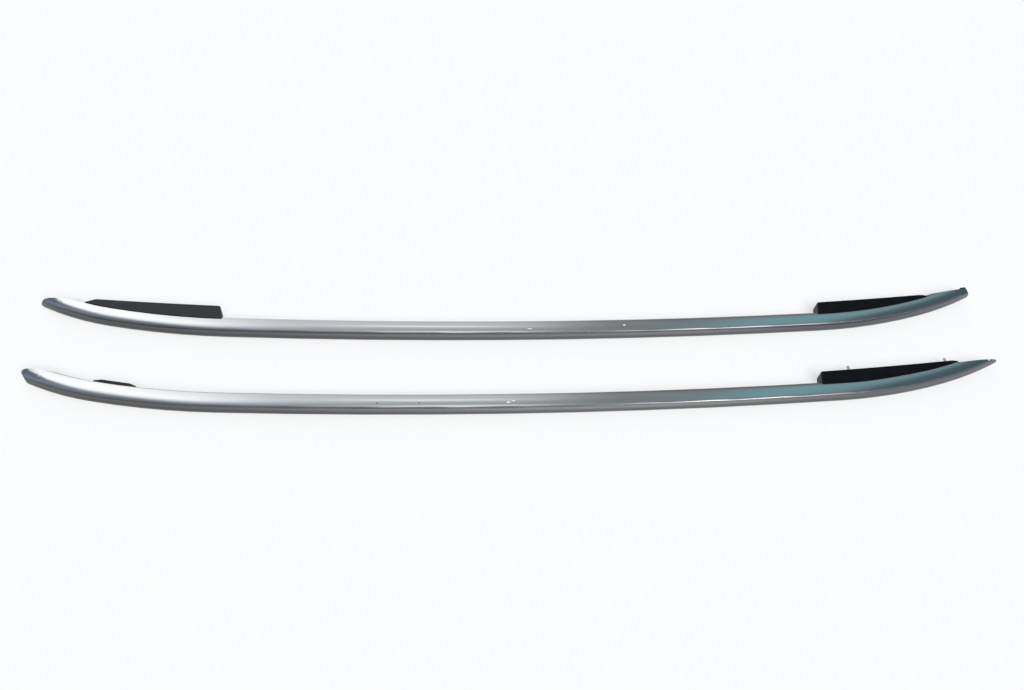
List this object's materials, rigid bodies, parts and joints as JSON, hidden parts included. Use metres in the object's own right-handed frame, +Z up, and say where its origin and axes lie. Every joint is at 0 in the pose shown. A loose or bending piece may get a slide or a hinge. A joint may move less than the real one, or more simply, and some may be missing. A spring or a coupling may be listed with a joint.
{
  "type": "roof side rail pair",
  "caption": "Pair of arched hollow roof side rails with a creased crown, tapered tips and black wedge feet with mounting studs, for fixing crossbars to a car roof.",
  "frame": {"origin": "on the floor under the middle of the pair as it lies", "axes": "+X along the rails to their slender front ends, +Y to the side that faces the car roof, +Z up from the floor"},
  "size_m": [2.052, 0.3042, 0.034],
  "materials": {
    "rail": "satin anodised, lightly scratched",
    "plug": "black coated casting",
    "pad": "matt rubber",
    "saddle": "black coated steel",
    "rivet": "plain steel",
    "bracket": "die cast, unpolished",
    "screw": "zinc plated",
    "cover": "moulded, fine grain, slight sheen",
    "gasket": "matt rubber",
    "stud": "zinc plated thread",
    "washer": "closed cell foam"
  },
  "bodies": {
    "root": {"left_front_bracket_screws": "screw", "left_front_end_plug": "plug", "left_front_foot_bracket": "bracket", "left_front_foot_cover": "cover", "left_front_foot_gasket": "gasket", "left_front_mounting_studs": "stud", "left_front_saddle": "saddle", "left_front_saddle_rivets": "rivet", "left_front_seal_washers": "washer", "left_rail_tube": "rail", "left_rear_end_plug": "plug", "left_rear_saddle": "saddle", "left_rear_saddle_rivets": "rivet", "right_front_bracket_screws": "screw", "right_front_end_plug": "plug", "right_front_foot_bracket": "bracket", "right_front_foot_cover": "cover", "right_front_foot_gasket": "gasket", "right_front_mounting_studs": "stud", "right_front_saddle": "saddle", "right_front_saddle_rivets": "rivet", "right_front_seal_washers": "washer", "right_front_tip_pad": "pad", "right_rail_tube": "rail", "right_rear_bracket_screws": "screw", "right_rear_end_plug": "plug", "right_rear_foot_bracket": "bracket", "right_rear_foot_cover": "cover", "right_rear_foot_gasket": "gasket", "right_rear_mounting_studs": "stud", "right_rear_saddle": "saddle", "right_rear_saddle_rivets": "rivet", "right_rear_seal_washers": "washer"}
  },
  "joints": []
}
